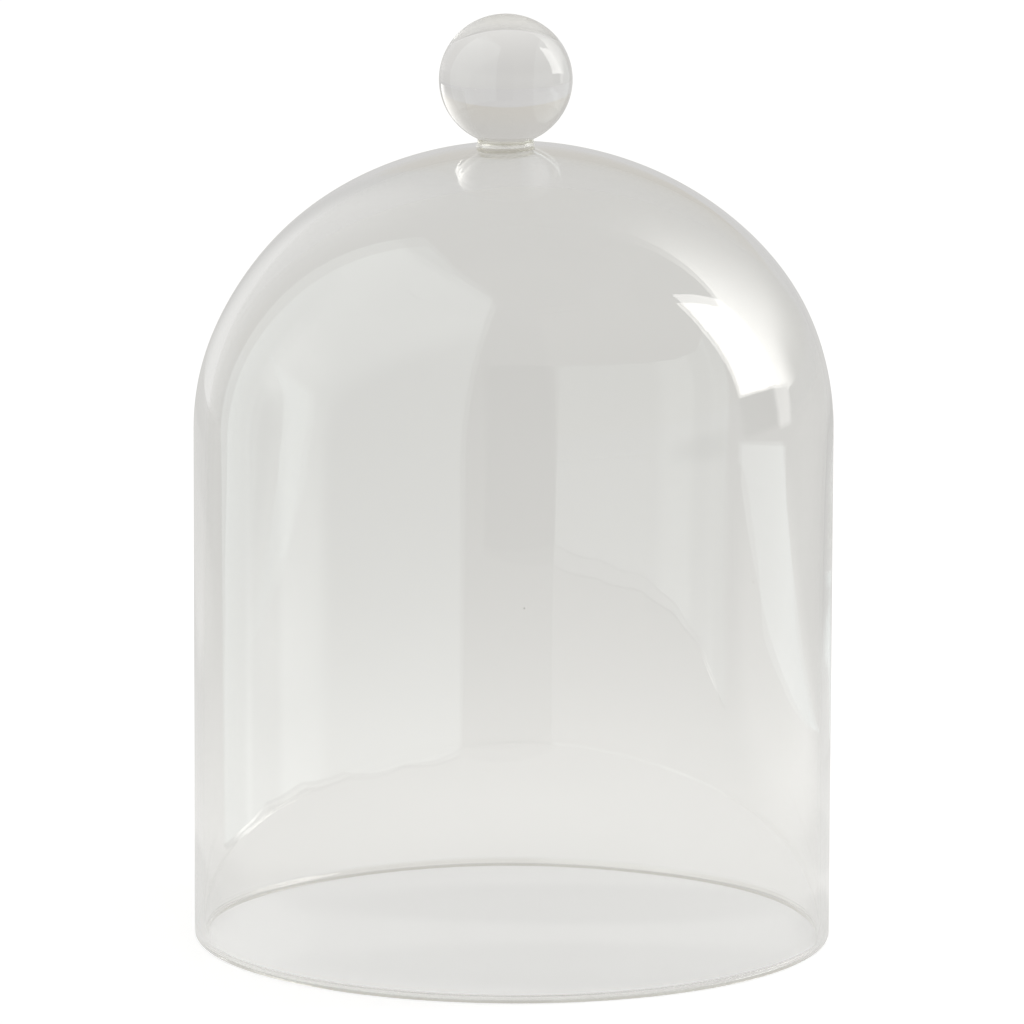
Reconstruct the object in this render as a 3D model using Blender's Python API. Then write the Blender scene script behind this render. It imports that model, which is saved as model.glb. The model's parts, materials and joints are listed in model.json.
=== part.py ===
"""Glass bell jar dome: a blown, open-bottomed glass dome with a solid glass ball knob fused to its crown.

Metres, +Z up. The origin is the centre of the rim plane, so the dome stands on Z = 0.
Every piece is turned about a vertical axis. The dome is round about the origin, and the
knob stands a little to its -X side, because it is set by hand while the glass is hot.
"""

import math

import bmesh
import bpy

# Dome
DOME_RADIUS = 0.100
WALL_HEIGHT = 0.1617  # straight wall, from the rim to where the crown starts
CROWN_RISE = 0.0893  # the crown is half an ellipse, a little flatter than a half sphere
WALL_THICKNESS = 0.0028
CROWN_THICKNESS = 0.0040  # at the pole, where the knob is set

# Rim, melted round into a bead that stands in a little from the wall
RIM_WIDTH = 0.0036
RIM_FLAT_WIDTH = 0.0008  # the ring that the dome stands on
RIM_EDGE_RADIUS = (RIM_WIDTH - RIM_FLAT_WIDTH) / 2
BEAD_TAPER_HEIGHT = 0.0016  # from the bead's widest back to the plain wall

# Knob
BALL_RADIUS = 0.0208
BALL_HALF_HEIGHT = 0.0204  # pressed a little flatter than a sphere
BALL_CENTRE_HEIGHT = 0.2711
KNOB_OFFSET_X = -0.0028
NECK_TOP_RADIUS = 0.0087
NECK_FOOT_RADIUS = 0.0098
NECK_FLARE = 2.4  # how late the neck widens on its way down to its foot
NECK_EDGE_HEIGHT = 0.0004  # the thin outer edge of the foot

# Hot-fused faces keep a hairline gap, so that each piece stays a solid of its own
JOINT_GAP = 0.0003

# Facets
DOME_SEGMENTS = 64
CROWN_STEPS = 16
WALL_STEPS = 4
RIM_EDGE_STEPS = 4
BEAD_TAPER_STEPS = 4
KNOB_SEGMENTS = 48
BALL_STEPS = 22
NECK_STEPS = 8

SMOOTH_UNDER = math.radians(40)


def clear_scene():
    for obj in list(bpy.data.objects):
        bpy.data.objects.remove(obj)


def glass(name, colour, roughness):
    """A clear glass material with its own faint tint."""
    material = bpy.data.materials.new(name)
    material.use_nodes = True
    shader = material.node_tree.nodes["Principled BSDF"]
    shader.inputs["Base Color"].default_value = (*colour, 1.0)
    shader.inputs["Metallic"].default_value = 0.0
    shader.inputs["Roughness"].default_value = roughness
    shader.inputs["IOR"].default_value = 1.5
    shader.inputs["Transmission Weight"].default_value = 1.0
    return material


def crown_height(distance):
    """Height of the dome's outer surface at this distance from its axis."""
    return WALL_HEIGHT + CROWN_RISE * math.sqrt(1.0 - (distance / DOME_RADIUS) ** 2)


def crown_arc(radius, rise, start, end):
    """(radius, height) points on a quarter ellipse, with angles from 90 degrees at the pole to 0 at the wall."""
    points = []
    for step in range(CROWN_STEPS + 1):
        angle = math.radians(start + (end - start) * step / CROWN_STEPS)
        points.append((radius * math.cos(angle), WALL_HEIGHT + rise * math.sin(angle)))
    return points


def straight_wall(radius, start, end):
    """Points up or down a straight wall, without its two ends."""
    heights = [start + (end - start) * step / WALL_STEPS for step in range(1, WALL_STEPS)]
    return [(radius, height) for height in heights]


def rim_edge(centre_radius, start, end):
    """A quarter round at the rim, with its centre one edge radius above the rim plane."""
    points = []
    for step in range(RIM_EDGE_STEPS + 1):
        angle = math.radians(start + (end - start) * step / RIM_EDGE_STEPS)
        radius = centre_radius + RIM_EDGE_RADIUS * math.cos(angle)
        height = RIM_EDGE_RADIUS + RIM_EDGE_RADIUS * math.sin(angle)
        points.append((radius, height))
    return points


def bead_taper(bead_radius, wall_radius):
    """Up from the bead's innermost line, easing out to the plain inner wall."""
    points = []
    for step in range(1, BEAD_TAPER_STEPS + 1):
        part = step / BEAD_TAPER_STEPS
        eased = (1.0 - math.cos(math.pi * part)) / 2
        radius = bead_radius + (wall_radius - bead_radius) * eased
        points.append((radius, RIM_EDGE_RADIUS + BEAD_TAPER_HEIGHT * part))
    return points


def dome_profile():
    """From the outer pole down the outside, across the rim and up the inside to the inner pole."""
    inner_radius = DOME_RADIUS - WALL_THICKNESS
    bead_radius = DOME_RADIUS - RIM_WIDTH
    inner_rise = CROWN_RISE - CROWN_THICKNESS
    profile = crown_arc(DOME_RADIUS, CROWN_RISE, 90, 0)
    profile += straight_wall(DOME_RADIUS, WALL_HEIGHT, RIM_EDGE_RADIUS)
    profile += rim_edge(DOME_RADIUS - RIM_EDGE_RADIUS, 0, -90)
    profile += rim_edge(bead_radius + RIM_EDGE_RADIUS, -90, -180)
    profile += bead_taper(bead_radius, inner_radius)
    profile += straight_wall(inner_radius, RIM_EDGE_RADIUS + BEAD_TAPER_HEIGHT, WALL_HEIGHT)
    profile += crown_arc(inner_radius, inner_rise, 0, 90)
    return profile


def ball_flat_drop():
    """How far the flat under the ball lies below its centre."""
    return BALL_HALF_HEIGHT * math.sqrt(1.0 - (NECK_TOP_RADIUS / BALL_RADIUS) ** 2)


def ball_profile():
    """From the top of the ball down to the flat where it meets the neck, and in to the axis."""
    flat_angle = -math.acos(NECK_TOP_RADIUS / BALL_RADIUS)
    profile = []
    for step in range(BALL_STEPS + 1):
        angle = math.pi / 2 + (flat_angle - math.pi / 2) * step / BALL_STEPS
        profile.append((BALL_RADIUS * math.cos(angle), BALL_HALF_HEIGHT * math.sin(angle)))
    profile.append((0.0, -ball_flat_drop()))
    return profile


def turned_mesh(name, profile, segments):
    """A closed mesh turned from a profile that starts and ends on the axis and runs down its outer side."""
    mesh = bmesh.new()
    top = mesh.verts.new((0.0, 0.0, profile[0][1]))
    bottom = mesh.verts.new((0.0, 0.0, profile[-1][1]))
    rings = []
    for radius, height in profile[1:-1]:
        ring = []
        for segment in range(segments):
            turn = 2 * math.pi * segment / segments
            ring.append(mesh.verts.new((radius * math.cos(turn), radius * math.sin(turn), height)))
        rings.append(ring)
    for segment in range(segments):
        after = (segment + 1) % segments
        mesh.faces.new((top, rings[0][segment], rings[0][after]))
        mesh.faces.new((bottom, rings[-1][after], rings[-1][segment]))
        for upper, lower in zip(rings, rings[1:]):
            mesh.faces.new((upper[segment], lower[segment], lower[after], upper[after]))
    data = bpy.data.meshes.new(name)
    mesh.to_mesh(data)
    mesh.free()
    return data


def place(name, data, material, location, parent):
    """Make the named object, shaded smooth except across its sharp edges."""
    data.materials.append(material)
    data.shade_smooth()
    data.set_sharp_from_angle(angle=SMOOTH_UNDER)
    obj = bpy.data.objects.new(name, data)
    obj.parent = parent
    obj.location = location
    bpy.context.scene.collection.objects.link(obj)
    return obj


def make_dome_shell(parent):
    data = turned_mesh("dome_shell", dome_profile(), DOME_SEGMENTS)
    tint = glass("dome_glass", (0.97, 0.98, 0.97), 0.02)
    place("dome_shell", data, tint, (0.0, 0.0, 0.0), parent)


def make_knob_ball(parent):
    data = turned_mesh("knob_ball", ball_profile(), KNOB_SEGMENTS)
    tint = glass("ball_glass", (0.96, 0.97, 0.95), 0.01)
    place("knob_ball", data, tint, (KNOB_OFFSET_X, 0.0, BALL_CENTRE_HEIGHT), parent)


def neck_profile(height):
    """Down the neck's hollow flare from the ball to the thin edge of its foot."""
    profile = [(0.0, height)]
    for step in range(NECK_STEPS + 1):
        down = step / NECK_STEPS
        radius = NECK_TOP_RADIUS + (NECK_FOOT_RADIUS - NECK_TOP_RADIUS) * down**NECK_FLARE
        profile.append((radius, height - (height - NECK_EDGE_HEIGHT) * down))
    profile.append((NECK_FOOT_RADIUS, 0.0))
    profile.append((0.0, 0.0))
    return profile


def make_knob_neck(parent):
    """The glass between crown and ball. Its foot follows the crown's curve under it."""
    foot_height = crown_height(abs(KNOB_OFFSET_X)) + JOINT_GAP
    height = BALL_CENTRE_HEIGHT - ball_flat_drop() - JOINT_GAP - foot_height
    data = turned_mesh("knob_neck", neck_profile(height), KNOB_SEGMENTS)
    for vertex in data.vertices:
        distance = math.hypot(vertex.co.x + KNOB_OFFSET_X, vertex.co.y)
        drop = crown_height(distance) + JOINT_GAP - foot_height
        vertex.co.z += drop * (1.0 - vertex.co.z / height)
    tint = glass("neck_glass", (0.93, 0.94, 0.90), 0.02)
    place("knob_neck", data, tint, (KNOB_OFFSET_X, 0.0, foot_height), parent)


def main():
    clear_scene()
    bell_jar = bpy.data.objects.new("bell_jar", None)
    bpy.context.scene.collection.objects.link(bell_jar)
    make_dome_shell(bell_jar)
    make_knob_neck(bell_jar)
    make_knob_ball(bell_jar)


main()
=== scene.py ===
"""The looks of a blown glass bell jar dome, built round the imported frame, with the studio it stands in."""
import json
import math

import bmesh
import bpy
from mathutils import Matrix, Vector


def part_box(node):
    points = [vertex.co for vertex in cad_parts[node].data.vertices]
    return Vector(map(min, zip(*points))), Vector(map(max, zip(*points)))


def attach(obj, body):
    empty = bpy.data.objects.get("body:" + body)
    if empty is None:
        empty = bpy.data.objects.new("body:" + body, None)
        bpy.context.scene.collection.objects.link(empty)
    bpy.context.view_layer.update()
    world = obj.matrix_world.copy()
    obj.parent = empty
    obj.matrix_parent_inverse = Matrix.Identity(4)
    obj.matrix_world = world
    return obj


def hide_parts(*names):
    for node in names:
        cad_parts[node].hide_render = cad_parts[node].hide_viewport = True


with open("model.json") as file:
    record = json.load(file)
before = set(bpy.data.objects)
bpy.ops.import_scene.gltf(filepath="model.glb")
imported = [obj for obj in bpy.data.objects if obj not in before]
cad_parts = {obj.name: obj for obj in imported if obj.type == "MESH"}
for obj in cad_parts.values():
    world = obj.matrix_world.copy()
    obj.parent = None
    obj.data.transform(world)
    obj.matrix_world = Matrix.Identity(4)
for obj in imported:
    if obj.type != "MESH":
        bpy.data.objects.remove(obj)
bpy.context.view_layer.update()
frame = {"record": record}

scene = bpy.context.scene

# ---------------------------------------------------------------- sizes, in metres

DOME_LOW, DOME_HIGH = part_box("dome_shell")
BALL_LOW, BALL_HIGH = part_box("knob_ball")
NECK_LOW, NECK_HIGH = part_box("knob_neck")
RIM_MIDDLE = next(m for m in frame["record"]["mounts"] if m["name"] == "rim_face")["pos_m"][0]

# dome
RADIUS = (DOME_HIGH.x - DOME_LOW.x) / 2
CROWN_RISE = 0.0893
WALL_HEIGHT = DOME_HIGH.z - CROWN_RISE
WALL = 0.0028
CROWN_THICKNESS = 0.0040

# rim bead
RIM_WIDTH = 2 * (RADIUS - RIM_MIDDLE)
RIM_FLAT = 0.0008
RIM_EDGE = (RIM_WIDTH - RIM_FLAT) / 2
BEAD_TAPER = 0.0016

# knob
BALL_RADIUS = (BALL_HIGH.y - BALL_LOW.y) / 2
BALL_HALF_HEIGHT = 0.0204
BALL_CENTRE = Vector(((BALL_LOW.x + BALL_HIGH.x) / 2, 0.0, BALL_HIGH.z - BALL_HALF_HEIGHT))
KNOB_X = BALL_CENTRE.x
NECK_TOP = 0.0087
NECK_FOOT = (NECK_HIGH.y - NECK_LOW.y) / 2 - 0.0005
NECK_FLARE = 3.0  # how late the neck widens on its way down to its foot
FUSED = 0.00005  # fused faces run this far into each other, so that no air shows between them

# hand making
SHOULDER_LEAN = 0.0007  # the crown swells this much to +X
LEAN_HEIGHT = 0.207
LEAN_SPREAD = 0.022
WALL_WAVE = 0.00012  # how much the inner wall comes and goes
WAVE_START = 0.02  # below this height the wave fades out
BEAD_WAVE = 0.00005
BEAD_REACH = 0.004  # how far up the bead's ripple is felt
INSIDE_SHIFT = 0.0010  # under the crown the inside stands this far to +X, so the wall is thicker on the left
SHIFT_FROM, SHIFT_FULL = 0.11, 0.19  # heights between which the shift grows

# turning steps
DOME_SEGMENTS = 288
KNOB_SEGMENTS = 160
CROWN_STEPS = 72
WALL_STEPS = 30
EDGE_STEPS = 14
TAPER_STEPS = 12
BALL_STEPS = 96
NECK_STEPS = 32
SMOOTH_UNDER = math.radians(40)


# ---------------------------------------------------------------- meshes


def crown_height(distance):
    """Height of the dome's outer surface at this distance from its axis."""
    return WALL_HEIGHT + CROWN_RISE * math.sqrt(1.0 - (distance / RADIUS) ** 2)


def crown_arc(radius, rise, start, end):
    """(radius, height) points on a quarter ellipse. The angle is 90 degrees at the pole and 0 at the wall."""
    points = []
    for step in range(CROWN_STEPS + 1):
        angle = math.radians(start + (end - start) * step / CROWN_STEPS)
        points.append((radius * math.cos(angle), WALL_HEIGHT + rise * math.sin(angle)))
    return points


def straight_wall(radius, start, end):
    """Points up or down a straight wall, without its two ends."""
    return [(radius, start + (end - start) * step / WALL_STEPS) for step in range(1, WALL_STEPS)]


def rim_round(centre, start, end):
    """A quarter round at the rim, with its centre one edge radius above the rim plane."""
    points = []
    for step in range(EDGE_STEPS + 1):
        angle = math.radians(start + (end - start) * step / EDGE_STEPS)
        points.append((centre + RIM_EDGE * math.cos(angle), RIM_EDGE + RIM_EDGE * math.sin(angle)))
    return points


def bead_taper(bead, inner):
    """Up from the bead's innermost line, easing out to the plain inner wall."""
    points = []
    for step in range(1, TAPER_STEPS + 1):
        part = step / TAPER_STEPS
        eased = (1.0 - math.cos(math.pi * part)) / 2
        points.append((bead + (inner - bead) * eased, RIM_EDGE + BEAD_TAPER * part))
    return points


def dome_profile():
    """(radius, height) from the outer pole round the rim to the inner pole, and where the inside starts."""
    inner = RADIUS - WALL
    bead = RADIUS - RIM_WIDTH
    outside = crown_arc(RADIUS, CROWN_RISE, 90, 0)
    outside += straight_wall(RADIUS, WALL_HEIGHT, RIM_EDGE)
    outside += rim_round(RADIUS - RIM_EDGE, 0, -90)
    inside = rim_round(bead + RIM_EDGE, -90, -180)
    inside += bead_taper(bead, inner)
    inside += straight_wall(inner, RIM_EDGE + BEAD_TAPER, WALL_HEIGHT)
    inside += crown_arc(inner, CROWN_RISE - CROWN_THICKNESS, 0, 90)
    return outside + inside, len(outside)


def turned(name, profile, segments, place=Vector()):
    """A closed mesh turned about a vertical axis at place."""
    mesh = bmesh.new()
    top = mesh.verts.new((0.0, 0.0, profile[0][1]))
    bottom = mesh.verts.new((0.0, 0.0, profile[-1][1]))
    rings = []
    for radius, height in profile[1:-1]:
        ring = []
        for segment in range(segments):
            turn = 2 * math.pi * segment / segments
            ring.append(mesh.verts.new((radius * math.cos(turn), radius * math.sin(turn), height)))
        rings.append(ring)
    for segment in range(segments):
        after = (segment + 1) % segments
        mesh.faces.new((top, rings[0][segment], rings[0][after]))
        mesh.faces.new((bottom, rings[-1][after], rings[-1][segment]))
        for upper, lower in zip(rings, rings[1:]):
            mesh.faces.new((upper[segment], lower[segment], lower[after], upper[after]))
    mesh.verts.index_update()
    data = bpy.data.meshes.new(name)
    mesh.to_mesh(data)
    mesh.free()
    data.shade_smooth()
    data.set_sharp_from_angle(angle=SMOOTH_UNDER)
    obj = bpy.data.objects.new(name, data)
    obj.location = place
    scene.collection.objects.link(obj)
    return obj


def smooth(value, low, high):
    """0 below low and 1 above high, or the other way round, easing between them."""
    part = min(1.0, max(0.0, (value - low) / (high - low)))
    return part * part * (3 - 2 * part)


def wall_wave(turn, height):
    """How far the inner wall stands out here, from its waves and from the bead's ripple."""
    wave = math.sin(2 * turn + 1.1 + 22 * height) + 0.6 * math.sin(5 * turn - 31 * height)
    ripple = math.sin(3 * turn + 0.4) + 0.7 * math.sin(7 * turn)
    near_rim = math.exp(-((height / BEAD_REACH) ** 2)) * min(1.0, height / RIM_EDGE)
    return WALL_WAVE * wave * min(1.0, height / WAVE_START) + BEAD_WAVE * ripple * near_rim


def hand_made(dome, inside_from, segments):
    """Lean the crown a little and let the inner wall and the bead vary, as in blown glass."""
    for vertex in dome.data.vertices:
        ring = (vertex.index - 2) // segments + 1
        x, y, z = vertex.co
        away = math.hypot(x, y)
        if ring >= inside_from and away > 0:
            reach = min(1.0, away / RADIUS)
            scale = 1.0 + reach * wall_wave(math.atan2(y, x), z) / away
            vertex.co.x = x * scale + INSIDE_SHIFT * smooth(z, SHIFT_FROM, SHIFT_FULL)
            vertex.co.y = y * scale
        vertex.co.x += SHOULDER_LEAN * math.exp(-(((z - LEAN_HEIGHT) / LEAN_SPREAD) ** 2))


# ---------------------------------------------------------------- nodes


class Tree:
    """Adds the nodes of one material or world."""

    def __init__(self, owner):
        owner.use_nodes = True
        self.nodes = owner.node_tree.nodes
        self.links = owner.node_tree.links

    def feed(self, value, socket):
        """Give a socket a plain value, or join another node's output to it."""
        if isinstance(value, bpy.types.NodeSocket):
            self.links.new(value, socket)
        else:
            socket.default_value = value

    def add(self, kind, inputs=None, **settings):
        """A new node. Its inputs are named or counted, and each is a plain value or an output."""
        node = self.nodes.new(kind)
        for name, value in settings.items():
            setattr(node, name, value)
        for key, value in (inputs or {}).items():
            self.feed(value, node.inputs[key])
        return node

    def maths(self, operation, *values):
        return self.add("ShaderNodeMath", dict(enumerate(values)), operation=operation).outputs[0]

    def vector_maths(self, operation, *values):
        return self.add("ShaderNodeVectorMath", dict(enumerate(values)), operation=operation).outputs

    def ease(self, value, low, high, at_low, at_high):
        """From one number at low to the other at high, easing between them."""
        inputs = {"Value": value, "From Min": low, "From Max": high, "To Min": at_low, "To Max": at_high}
        return self.add("ShaderNodeMapRange", inputs, interpolation_type="SMOOTHSTEP").outputs[0]

    def mix_colours(self, factor, first, second):
        node = self.add("ShaderNodeMix", data_type="RGBA")
        first_colour, second_colour = [s for s in node.inputs if s.type == "RGBA"]
        self.feed(factor, node.inputs[0])
        self.feed(first, first_colour)
        self.feed(second, second_colour)
        return next(s for s in node.outputs if s.type == "RGBA")

    def mix_shaders(self, factor, first, second):
        return self.add("ShaderNodeMixShader", {0: factor, 1: first, 2: second}).outputs[0]

    def add_shaders(self, first, second):
        return self.add("ShaderNodeAddShader", {0: first, 1: second}).outputs[0]

    def ramp(self, value, stops, interpolation):
        """A colour ramp of greys, or of colours, at these places."""
        node = self.add("ShaderNodeValToRGB", {0: value})
        node.color_ramp.interpolation = interpolation
        elements = node.color_ramp.elements
        while len(elements) < len(stops):
            elements.new(0.5)
        for element, (place, shade) in zip(elements, stops):
            element.position = place
            element.color = (*shade, 1) if isinstance(shade, tuple) else (shade, shade, shade, 1)
        return node.outputs["Color"]


# ---------------------------------------------------------------- glass

SEED_SIZE = 0.013  # share of a seed's cell that it takes up
SEED_SHARE = 0.25  # share of the cells that hold a seed
SEED_TINT = (0.62, 0.61, 0.58, 1.0)


def glass(name, tint, deep_tint, wave_size, wave_depth, ripple_size, ripple_depth, cell_size):
    """Clear glass: a tint that drifts, slow waves and fine ripples left by blowing, and a few seeds."""
    material = bpy.data.materials.new(name)
    tree = Tree(material)
    shader = tree.nodes["Principled BSDF"]
    shader.inputs["Roughness"].default_value = 0.0
    shader.inputs["IOR"].default_value = 1.5
    shader.inputs["Transmission Weight"].default_value = 1.0

    place = tree.add("ShaderNodeTexCoord").outputs["Object"]
    drift_inputs = {"Vector": place, "Scale": 1 / wave_size, "Detail": 2.0}
    drift = tree.add("ShaderNodeTexNoise", drift_inputs).outputs["Fac"]
    tints = tree.mix_colours(drift, (*tint, 1.0), (*deep_tint, 1.0))

    # seeds: pin-head inclusions, one in a few cells
    cells = tree.add("ShaderNodeTexVoronoi", {"Vector": place, "Scale": 1 / cell_size})
    small = tree.maths("LESS_THAN", cells.outputs["Distance"], SEED_SIZE)
    chance = tree.add("ShaderNodeSeparateColor", {0: cells.outputs["Color"]}).outputs[0]
    rare = tree.maths("LESS_THAN", chance, SEED_SHARE)
    seeds = tree.maths("MULTIPLY", small, rare)
    tree.feed(tree.mix_colours(seeds, tints, SEED_TINT), shader.inputs["Base Color"])

    waves = tree.add("ShaderNodeBump", {"Distance": wave_depth, "Height": drift}).outputs["Normal"]
    fine_inputs = {"Vector": place, "Scale": 1 / ripple_size, "Detail": 3.0}
    fine = tree.add("ShaderNodeTexNoise", fine_inputs).outputs["Fac"]
    ripple_inputs = {"Distance": ripple_depth, "Height": fine, "Normal": waves}
    ripples = tree.add("ShaderNodeBump", ripple_inputs).outputs["Normal"]
    tree.feed(ripples, shader.inputs["Normal"])
    return material


def tint_below(material, low, high, tint):
    """Give a glass another tint below low, easing into its own by high, in its piece's own heights."""
    tree = Tree(material)
    base_colour = tree.nodes["Principled BSDF"].inputs["Base Color"]
    own_tint = base_colour.links[0].from_socket
    place = tree.add("ShaderNodeTexCoord").outputs["Object"]
    height = tree.add("ShaderNodeSeparateXYZ", {0: place}).outputs["Z"]
    part = tree.ease(height, low, high, 0.0, 1.0)
    tree.feed(tree.mix_colours(part, (*tint, 1.0), own_tint), base_colour)


# ---------------------------------------------------------------- the three pieces


def piece(obj, node, material):
    """Put the piece in place of its CAD node, with its own glass."""
    obj.data.materials.append(material)
    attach(obj, "root")
    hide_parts(node)


def make_dome():
    profile, inside_from = dome_profile()
    dome = turned("dome_glass_shell", profile, DOME_SEGMENTS)
    hand_made(dome, inside_from, DOME_SEGMENTS)
    dome_glass = glass(
        "dome_glass", (0.985, 0.985, 0.978), (0.97, 0.97, 0.96),
        wave_size=0.045, wave_depth=0.00004, ripple_size=0.006, ripple_depth=0.0000012, cell_size=0.024)
    # painted shade: the bead's glass is tinted darker, deepening the dark lines that the rounded rim shows
    tint_below(dome_glass, RIM_EDGE, RIM_EDGE + BEAD_TAPER, (0.90, 0.895, 0.87))
    piece(dome, "dome_shell", dome_glass)


def ball_flat_drop():
    """How far the flat under the ball lies below its centre."""
    return BALL_HALF_HEIGHT * math.sqrt(1.0 - (NECK_TOP / BALL_RADIUS) ** 2)


def make_ball():
    flat_angle = -math.acos(NECK_TOP / BALL_RADIUS)
    profile = []
    for step in range(BALL_STEPS + 1):
        angle = math.pi / 2 + (flat_angle - math.pi / 2) * step / BALL_STEPS
        profile.append((BALL_RADIUS * math.cos(angle), BALL_HALF_HEIGHT * math.sin(angle)))
    profile.append((0.0, -ball_flat_drop()))
    ball = turned("knob_glass_ball", profile, KNOB_SEGMENTS, BALL_CENTRE)
    ball_glass = glass(
        "ball_glass", (0.955, 0.95, 0.945), (0.94, 0.935, 0.925),
        wave_size=0.018, wave_depth=0.00001, ripple_size=0.004, ripple_depth=0.0000008, cell_size=0.011)
    piece(ball, "knob_ball", ball_glass)


def make_neck():
    """The glass between crown and ball. Its foot follows the crown's curve under it."""
    foot = crown_height(abs(KNOB_X)) - FUSED
    height = BALL_CENTRE.z - ball_flat_drop() + FUSED - foot
    profile = [(0.0, height)]
    for step in range(NECK_STEPS + 1):
        down = step / NECK_STEPS
        profile.append((NECK_TOP + (NECK_FOOT - NECK_TOP) * down**NECK_FLARE, height * (1 - down)))
    profile.append((0.0, 0.0))
    neck = turned("knob_glass_neck", profile, KNOB_SEGMENTS, Vector((KNOB_X, 0, foot)))
    for vertex in neck.data.vertices:
        distance = math.hypot(vertex.co.x + KNOB_X, vertex.co.y)
        drop = crown_height(distance) - FUSED - foot
        vertex.co.z += drop * (1.0 - vertex.co.z / height)
    neck_glass = glass(
        "neck_glass", (0.70, 0.685, 0.61), (0.66, 0.645, 0.55),
        wave_size=0.007, wave_depth=0.00002, ripple_size=0.002, ripple_depth=0.000001, cell_size=0.006)
    tint_below(neck_glass, 0.0002, 0.0010, (0.985, 0.98, 0.965))
    piece(neck, "knob_neck", neck_glass)


make_dome()
make_ball()
make_neck()


# ---------------------------------------------------------------- stage


def stage_object(name, corners, faces, material):
    data = bpy.data.meshes.new(name)
    data.from_pydata([tuple(c) for c in corners], [], faces)
    data.materials.append(material)
    obj = bpy.data.objects.new(name, data)
    scene.collection.objects.link(obj)
    return obj


def seen_through(tree):
    """1 for light seen straight through glass, after an even number of bounces, and 0 for mirrored light."""
    depth = tree.add("ShaderNodeLightPath").outputs["Ray Depth"]
    return tree.maths("LESS_THAN", tree.maths("MODULO", depth, 2.0), 0.5)


def direct_or_not(tree, direct, other):
    """One shader where the camera sees a surface directly, and the other for all other light."""
    camera_ray = tree.add("ShaderNodeLightPath").outputs["Is Camera Ray"]
    return tree.mix_shaders(camera_ray, other, direct)


# floor, as seen through and in the glass: paper that glows with painted light, brightest before and behind
# the dome, with painted shade under the dome; the lamps light it a little too
FLOOR_HALF = 12.0
FLOOR_REACH = 8.0  # distance of the last grey
FLOOR_SIDES = 1.35  # the light falls off faster to the sides
FLOOR_GREYS = [
    (0.0, 0.63), (0.011, 0.65), (0.0175, 0.70), (0.03, 0.69), (0.05, 0.60), (0.075, 0.54), (0.1, 0.52),
    (0.14, 0.50), (0.175, 0.505), (0.21, 0.515), (0.25, 0.52), (0.5, 0.51), (1.0, 0.50),
]
FLOOR_TINT = (1.005, 1.0, 0.985)
FLOOR_PAPER = (0.25, 0.25, 0.25, 1)
FLOOR_DIRECT_PAPER = (0.5, 0.5, 0.5, 1)
FLOOR_DIRECT_LIGHT = 0.75
PATCH_CORE = 0.6  # how much of a soft patch is at full depth
FAR_PATCH = 3 * RADIUS  # patches further out than this are only seen mirrored
FLOOR_PAINTED_PATCHES = [  # painted shade on the floor, or painted light where the depth is negative: centre, half size and depth of each
    ((0.018, 0.042), (0.098, 0.036), 0.055),
    ((0.018, -0.045), (0.098, 0.040), 0.05),
    ((-0.080, 0.0), (0.022, 0.06), -0.03),
    ((-0.130, 0.06), (0.048, 0.10), 0.12),
    ((0.125, 0.0), (0.04, 0.07), 0.12),
    ((0.17, 0.12), (0.08, 0.06), 0.06),
    ((0.40, 0.82), (0.22, 0.45), 0.12),
    ((-0.38, 0.75), (0.25, 0.45), -0.16),  # painted light, as if from the pale wall at the back left
    ((0.62, 0.13), (0.44, 0.25), -0.62),  # painted pool of light, as if from the softbox
]


def painted_floor_patch(tree, position, colour, centre, size, depth):
    """Paint shade on the floor in a soft-edged oval, or with a negative depth paint light there."""
    offset = tree.vector_maths("SUBTRACT", position, (*centre, 0))[0]
    shrunk = tree.vector_maths("DIVIDE", offset, (*size, 1))[0]
    away = tree.vector_maths("LENGTH", shrunk)["Value"]
    amount = tree.ease(away, PATCH_CORE, 1.0, 1.0 - depth, 1.0)
    if math.hypot(*centre) > FAR_PATCH:
        mix = tree.add("ShaderNodeMix")
        mirrored, through = [s for s in mix.inputs if s.type == "VALUE" and s.name in ("A", "B")]
        tree.feed(seen_through(tree), mix.inputs[0])
        tree.feed(amount, mirrored)
        tree.feed(1.0, through)
        amount = mix.outputs[0]
    return tree.add("ShaderNodeVectorMath", {0: colour, "Scale": amount}, operation="SCALE").outputs[0]


def floor_material():
    material = bpy.data.materials.new("studio_floor")
    tree = Tree(material)
    tree.nodes.clear()
    position = tree.add("ShaderNodeNewGeometry").outputs["Position"]
    squeezed = tree.vector_maths("MULTIPLY", position, (FLOOR_SIDES, 1, 1))[0]
    away = tree.vector_maths("LENGTH", squeezed)["Value"]
    shade = tree.ramp(tree.maths("DIVIDE", away, FLOOR_REACH), FLOOR_GREYS, "B_SPLINE")
    for centre, size, depth in FLOOR_PAINTED_PATCHES:
        shade = painted_floor_patch(tree, position, shade, centre, size, depth)
    warm = tree.vector_maths("MULTIPLY", shade, FLOOR_TINT)[0]
    other = tree.add_shaders(
        tree.add("ShaderNodeEmission", {"Color": warm}).outputs[0],
        tree.add("ShaderNodeBsdfDiffuse", {"Color": FLOOR_PAPER}).outputs[0])
    direct = tree.add_shaders(
        tree.add("ShaderNodeEmission", {"Strength": FLOOR_DIRECT_LIGHT}).outputs[0],
        tree.add("ShaderNodeBsdfDiffuse", {"Color": FLOOR_DIRECT_PAPER}).outputs[0])
    tree.add("ShaderNodeOutputMaterial", {0: direct_or_not(tree, direct, other)})
    return material


floor_corners = [(-FLOOR_HALF, -FLOOR_HALF, 0), (FLOOR_HALF, -FLOOR_HALF, 0),
                 (FLOOR_HALF, FLOOR_HALF, 0), (-FLOOR_HALF, FLOOR_HALF, 0)]
stage_object("studio_floor", floor_corners, [(0, 1, 2, 3)], floor_material())

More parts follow.
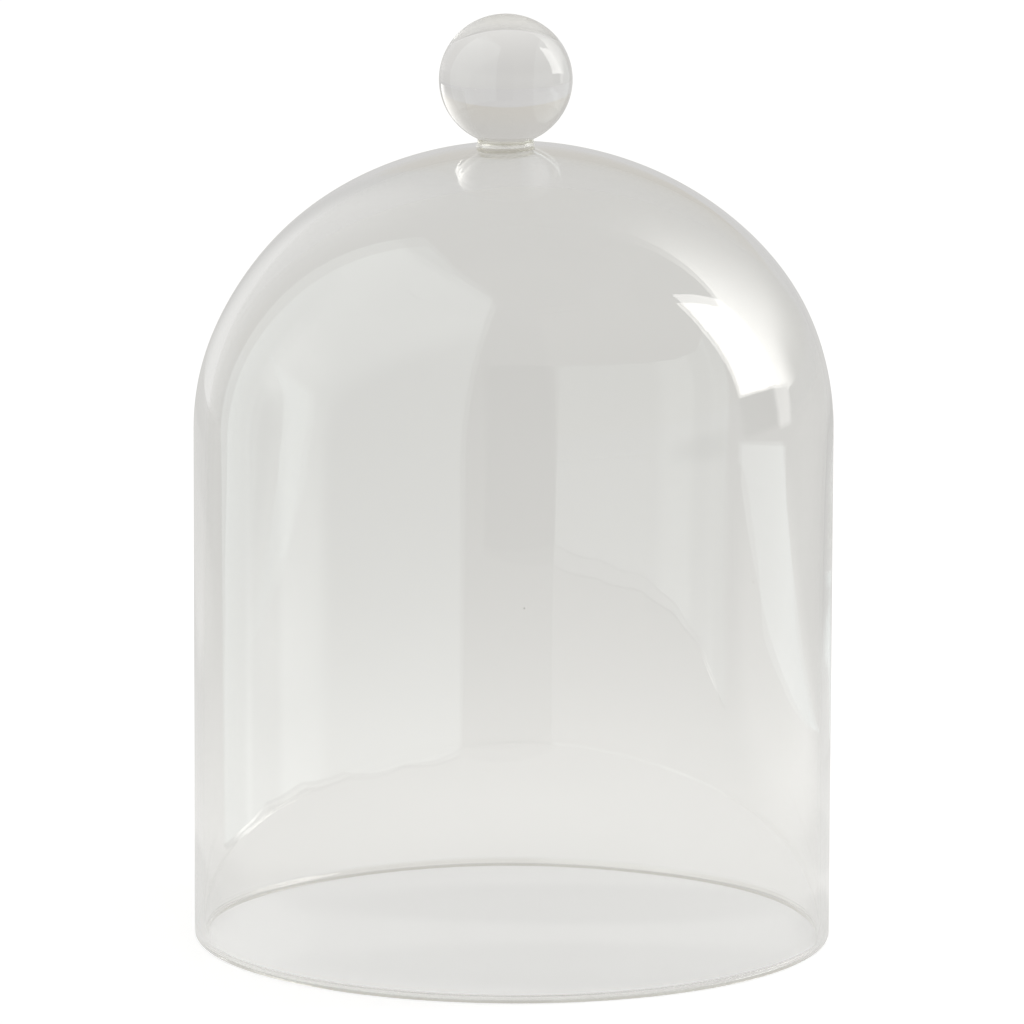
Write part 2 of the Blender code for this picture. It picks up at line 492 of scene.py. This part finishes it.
# room: a grey backdrop, a little warmer above its top edge, and plain white where the camera sees it directly
BACKDROP_TOP = 0.5 + math.sin(math.radians(10.0)) / 2  # 0 is straight down and 1 straight up
BACKDROP_EDGE = 0.001
ROOM_GREYS = [
    (0.5, (0.65, 0.645, 0.64)),
    (BACKDROP_TOP - BACKDROP_EDGE, (0.65, 0.645, 0.64)),
    (BACKDROP_TOP + BACKDROP_EDGE, (0.62, 0.60, 0.56)),
    (0.75, (0.60, 0.59, 0.565)),
    (1.0, (0.58, 0.57, 0.55)),
]
ROOM_SIDES = -0.05  # a little lighter on the left
ROOM_WHITE = (1.0, 1.0, 1.0, 1.0)
ROOM_DIRECT_LIGHT = 1.05


def make_room():
    room = bpy.data.worlds.new("studio")
    scene.world = room
    tree = Tree(room)
    tree.nodes.clear()
    way = tree.add("ShaderNodeTexCoord").outputs["Generated"]
    split = tree.add("ShaderNodeSeparateXYZ", {0: way})
    height = tree.maths("MULTIPLY_ADD", split.outputs["Z"], 0.5, 0.5)
    greys = tree.ramp(height, ROOM_GREYS, "LINEAR")
    light = tree.maths("MULTIPLY_ADD", split.outputs["X"], ROOM_SIDES, 1.0)
    other = tree.add("ShaderNodeBackground", {"Color": greys, "Strength": light}).outputs[0]
    direct_inputs = {"Color": ROOM_WHITE, "Strength": ROOM_DIRECT_LIGHT}
    direct = tree.add("ShaderNodeBackground", direct_inputs).outputs[0]
    tree.add("ShaderNodeOutputWorld", {0: direct_or_not(tree, direct, other)})


make_room()


# ---------------------------------------------------------------- sheets of light

SHOULDER = Vector((0.065, -0.065, 0.195))  # the sheets on the right are laid out as seen from here
LEFT_SHOULDER = Vector((-0.08, 0.0, 0.15))
THROUGH_KNOB = 2.0  # bounces of light seen straight through the knob
KNOB_SHARE = 0.35  # how much of the curtain and the screen shows in the knob
WARM_WHITE = (1.0, 0.99, 0.97)


def toward(azimuth, elevation, distance, start):
    """A point at this distance from start; azimuth 0 faces the camera side, 90 is +X."""
    a, e = math.radians(azimuth), math.radians(elevation)
    way = Vector((math.sin(a) * math.cos(e), -math.cos(a) * math.cos(e), math.sin(e)))
    return start + distance * way


def sheet_material(name, strength, colour, knob_share):
    """Light that shows only where glass mirrors it, and this share of it also straight through the knob."""
    material = bpy.data.materials.new(name)
    tree = Tree(material)
    tree.nodes.clear()
    if strength is None:
        strength = tree.add("ShaderNodeAttribute", attribute_name="light").outputs["Fac"]
    emission = tree.add("ShaderNodeEmission", {"Color": (*colour, 1), "Strength": strength}).outputs[0]
    depth = tree.add("ShaderNodeLightPath").outputs["Ray Depth"]
    in_knob = tree.maths("COMPARE", depth, THROUGH_KNOB, 0.5)
    hidden = tree.maths("MULTIPLY_ADD", in_knob, -knob_share, seen_through(tree))
    nothing = tree.add("ShaderNodeBsdfTransparent").outputs[0]
    tree.add("ShaderNodeOutputMaterial", {0: tree.mix_shaders(hidden, emission, nothing)})
    return material


def light_sheet(name, corners, faces, strength, colour, knob_share):
    """A sheet that the camera doesn't see directly and that lights nothing. Its strength may vary over it."""
    sheet = stage_object(name, corners, faces, sheet_material(name, strength, colour, knob_share))
    sheet.visible_camera = False
    sheet.visible_diffuse = False
    sheet.visible_shadow = False
    return sheet


def flat_card(name, corners, distance, strength):
    """A flat sheet, with its corners in degrees round and up as seen from the right shoulder."""
    points = [toward(azimuth, elevation, distance, SHOULDER) for azimuth, elevation in corners]
    return light_sheet(name, points, [tuple(range(len(points)))], strength, WARM_WHITE, 0.0)


def lit_sheet(name, columns, rows, point_at, light_at, colour, knob_share=0.0):
    """A sheet of light whose strength varies over it. Both functions take (across, up) from 0 to 1."""
    corners, lights, faces = [], [], []
    for row in range(rows + 1):
        for column in range(columns + 1):
            across, up = column / columns, row / rows
            corners.append(point_at(across, up))
            lights.append(light_at(across, up))
    for row in range(rows):
        for column in range(columns):
            first = row * (columns + 1) + column
            faces.append((first, first + 1, first + columns + 2, first + columns + 1))
    sheet = light_sheet(name, corners, faces, None, colour, knob_share)
    strengths = sheet.data.attributes.new("light", "FLOAT", "POINT")
    for entry, light in zip(strengths.data, lights):
        entry.value = light


# key softbox, right
KEY_LIGHT = 4.8
KEY_DISTANCE = 1.5
KEY_CORNERS = [(92.2, 10.4), (114.5, 7), (114.5, 35.5), (108, 42.5), (98.3, 49.2), (93.5, 36)]
key_softbox = flat_card("key_softbox", KEY_CORNERS, KEY_DISTANCE, KEY_LIGHT)
key_softbox.visible_diffuse = True  # unlike the others, it also lights the floor
key_softbox.visible_shadow = True

# light that spills past the softbox on to a curtain, strongest at its near edge
SPILL_NEAR, SPILL_FAR = 113.0, 156.0  # degrees round, where the curtain starts low down, and where it ends
SPILL_LOW, SPILL_HIGH = 4.0, 68.0  # degrees up
SPILL_DISTANCE = 1.6
SPILL_ROOM = 0.61  # light of the curtain itself
SPILL_LIGHT = 3.0
SPILL_TINT = (1.0, 0.99, 0.96)


def spill_edge(elevation):
    """Where the curtain starts: behind the softbox, and further round above it."""
    return SPILL_NEAR + 21.0 * max(0.0, (elevation - 35.0) / 20.0)


def spill_place(across, up):
    """Degrees round and up."""
    elevation = SPILL_LOW + (SPILL_HIGH - SPILL_LOW) * up
    near = spill_edge(elevation)
    return near + (SPILL_FAR - near) * across, elevation


def spill_point(across, up):
    turn, elevation = spill_place(across, up)
    return toward(turn, elevation, SPILL_DISTANCE, SHOULDER)


def spill_light(across, up):
    turn, elevation = spill_place(across, up)
    high = 1.0 - smooth(elevation, 42, 67) * 0.94
    low = 1.0 - smooth(elevation, 20, 5) * smooth(turn, 117, 131)
    return SPILL_ROOM + SPILL_LIGHT * high * low * ((SPILL_FAR - turn) / (SPILL_FAR - 114.0)) ** 2.0


lit_sheet("spill", 24, 30, spill_point, spill_light, SPILL_TINT, KNOB_SHARE)

# below the softbox: its dark skirt, and a strip of the curtain beside it
SKIRT_CORNERS = [(91, -2.5), (110, -2.5), (110, 7.5), (91, 10)]
SKIRT_LIGHT = 0.33
STRIP_CORNERS = [(111, -3.5), (118.5, -3.5), (121, 5), (112, 7)]
STRIP_DISTANCE = 1.55
STRIP_LIGHT = 1.5
flat_card("skirt", SKIRT_CORNERS, KEY_DISTANCE, SKIRT_LIGHT)
flat_card("curtain_strip", STRIP_CORNERS, STRIP_DISTANCE, STRIP_LIGHT)

# white screen bent round the left side, with painted shade on two duller panels; places along it run from 0
# to 6
SCREEN_FOOT = [
    (-0.223, 0.060), (-0.27, 0.030), (-0.33, -0.02), (-0.365, -0.118),
    (-0.345, -0.235), (-0.26, -0.36), (-0.136, -0.45),
]
SCREEN_TOPS = [0.66, 0.96, 1.22, 1.42, 1.53, 1.52, 1.33]
SCREEN_FULL = [0.55, 0.75, 0.99, 1.20, 1.37, 1.38, 1.26]  # above these heights the cloth is thinner
SCREEN_BACK = Vector((-0.198, 0.078))  # its back edge leans to this at the top
SCREEN_STRETCHES = len(SCREEN_FOOT) - 1
SCREEN_LIFT = 0.0012  # gap under the cloth, which the strip of painted shadow fills
SCREEN_LIGHT = 1.49
SCREEN_TINT = (0.95, 1.0, 0.985)


def along(stops, across):
    """The value at this part of the way along evenly spaced stops."""
    place = min(across * (len(stops) - 1), len(stops) - 1.000001)
    first = int(place)
    return stops[first] * (1 - place + first) + stops[first + 1] * (place - first)


def screen_spot(across):
    return along([Vector(p) for p in SCREEN_FOOT], across)


def screen_point(across, up):
    spot = screen_spot(across)
    rise = up * up  # close rows near the floor
    lean = (SCREEN_BACK - Vector(SCREEN_FOOT[0])) * rise * max(0.0, 1.0 - across * SCREEN_STRETCHES)
    return (spot.x + lean.x, spot.y + lean.y, SCREEN_LIFT + rise * along(SCREEN_TOPS, across))


def screen_light(across, up):
    z = screen_point(across, up)[2]
    place = across * SCREEN_STRETCHES
    # painted shade on the screen: two duller panels, and a darker start low down
    left_panel = smooth(place, 1.2, 1.4) * (1.0 - smooth(place, 2.3, 2.45)) * (1.0 - smooth(z, 0.18, 0.26))
    shade_top = 0.27 + 0.19 * max(0.0, place - 3.2)
    right_panel = smooth(place, 3.3, 3.7) * (1.0 - smooth(z, shade_top - 0.10, shade_top + 0.06))
    start = (1.0 - smooth(place, 1.1, 1.3)) * (1.0 - smooth(z, 0.3, 0.5))
    low_start = (1.0 - smooth(place, 0.9, 1.3)) * (1.0 - smooth(z, 0.0, 0.12))
    full = along(SCREEN_FULL, across)
    thin = smooth(z, full - 0.01, full + 0.01)
    light = SCREEN_LIGHT - 0.40 * left_panel - 0.34 * right_panel - 0.28 * start - 0.25 * low_start
    return light * (1.0 - 0.3 * thin)


lit_sheet("screen", 120, 90, screen_point, screen_light, SCREEN_TINT, KNOB_SHARE)

# the screen's foot: a strip of painted shadow, with a painted bright gap of light under part of it
SHADOW_STRIP_LIGHTS = [0.25, 0.25, 3.0, 3.0] + [0.3] * 9
SHADOW_STRIP_PROUD = 0.001  # it stands this far in front of the screen
SHADOW_STRIP_LIFT = 0.0001
SHADOW_STRIP_TINT = (1.0, 1.0, 0.98)


def shadow_strip_point(across, up):
    spot = screen_spot(across)
    return (spot.x + SHADOW_STRIP_PROUD, spot.y, SHADOW_STRIP_LIFT + SCREEN_LIFT * up)


def shadow_strip_light(across, up):
    return along(SHADOW_STRIP_LIGHTS, across)


lit_sheet("screen_shadow_strip", 60, 1, shadow_strip_point, shadow_strip_light, SHADOW_STRIP_TINT)

# dark flag between the screen and the right side, under the camera
FLAG_X, FLAG_Y = -0.136, -0.452
FLAG_RUN_X, FLAG_RUN_Y = 0.24, -0.018
FLAG_LIFT = 0.001
FLAG_HEIGHT = 1.399


def flag_point(across, up):
    return (FLAG_X + FLAG_RUN_X * across, FLAG_Y + FLAG_RUN_Y * across, FLAG_LIFT + FLAG_HEIGHT * up)


def flag_light(across, up):
    return 0.45 + 0.15 * smooth(up, 0.45, 0.95)


lit_sheet("flag", 1, 40, flag_point, flag_light, WARM_WHITE)

# low card on the right, before the softbox, dark in its middle
DIM_NEAR, DIM_FAR = 46.0, 82.0  # degrees round
DIM_DISTANCE = 0.66
DIM_LIFT = 0.001
DIM_HEIGHT = 0.22


def dim_point(across, up):
    turn = DIM_NEAR + (DIM_FAR - DIM_NEAR) * across
    return toward(turn, 0.0, DIM_DISTANCE, Vector((0, 0, DIM_LIFT + DIM_HEIGHT * up)))


def dim_light(across, up):
    turn = DIM_NEAR + (DIM_FAR - DIM_NEAR) * across
    tall = smooth(up, 0.3, 0.6) * (1.0 - smooth(up, 0.8, 1.0))
    return 0.64 - 0.38 * smooth(turn, 50, 60) * (1.0 - smooth(turn, 73, 81)) * tall


lit_sheet("dim_card", 22, 10, dim_point, dim_light, WARM_WHITE)

# pale wall at the back left, with a gap between it and the screen
PALE_NEAR, PALE_FAR = 134.0, 172.0  # degrees round, on the left
PALE_LOW, PALE_HIGH = -3.0, 66.0  # degrees up
PALE_DISTANCE = 1.5
PALE_TINT = (1.0, 0.995, 0.98)


def pale_place(across, up):
    """Degrees round and up."""
    return PALE_NEAR + (PALE_FAR - PALE_NEAR) * across, PALE_LOW + (PALE_HIGH - PALE_LOW) * up


def pale_point(across, up):
    turn, elevation = pale_place(across, up)
    return toward(-turn, elevation, PALE_DISTANCE, LEFT_SHOULDER)


def pale_light(across, up):
    turn, elevation = pale_place(across, up)
    near, far = smooth(turn, 136, 142), 1.0 - smooth(turn, 158, 171)
    return 0.62 + 0.19 * near * far * (1.0 - smooth(elevation, 40, 64))


lit_sheet("pale_wall", 24, 24, pale_point, pale_light, PALE_TINT)

# long low card on the right, brightest at its far end
CARD_NEAR, CARD_STEP, CARD_FAR = Vector((0.28, 0.26)), Vector((0.52, 0.14)), Vector((0.97, -0.085))
CARD_SPLIT = 0.4  # part of the way along it where the step is
CARD_LIFT = 0.001
CARD_TINT = (0.96, 1.0, 0.99)


def card_point(across, up):
    if across < CARD_SPLIT:
        part = across / CARD_SPLIT
        spot = CARD_NEAR.lerp(CARD_STEP, part)
        top = 0.001 + 0.069 * part**1.5
    else:
        part = (across - CARD_SPLIT) / (1.0 - CARD_SPLIT)
        spot = CARD_STEP.lerp(CARD_FAR, part)
        top = 0.106 + 0.014 * part
    return (spot.x, spot.y, CARD_LIFT + top * up)


def card_light(across, up):
    return 1.0 + 0.5 * smooth(across, 0.05, 0.42)


lit_sheet("right_card", 50, 2, card_point, card_light, CARD_TINT)


# ---------------------------------------------------------------- camera

TARGET = Vector((-0.0004, 0.0, 0.1347))
DISTANCE = 2.8
ELEVATION = math.radians(10.03)
LENS = 314.4  # mm
SENSOR = 36.0  # mm
ROLL = math.radians(0.2)
FURTHEST = 50.0
LIGHT_TURNS = 512  # light that is led along inside the wall needs this many turns to get out again

camera_data = bpy.data.cameras.new("camera")
camera_data.sensor_width = SENSOR
camera_data.lens = LENS
camera_data.clip_end = FURTHEST
camera = bpy.data.objects.new("camera", camera_data)
scene.collection.objects.link(camera)
backward = Vector((0.0, -math.cos(ELEVATION), math.sin(ELEVATION)))
camera.location = TARGET + DISTANCE * backward
facing = (-backward).to_track_quat("-Z", "Y").to_matrix().to_4x4()
camera.matrix_world = Matrix.Translation(camera.location) @ facing @ Matrix.Rotation(ROLL, 4, "Z")
scene.camera = camera

scene.view_settings.view_transform = "Standard"
scene.cycles.max_bounces = LIGHT_TURNS
scene.cycles.transmission_bounces = LIGHT_TURNS
scene.cycles.glossy_bounces = LIGHT_TURNS
scene.cycles.use_denoising = True
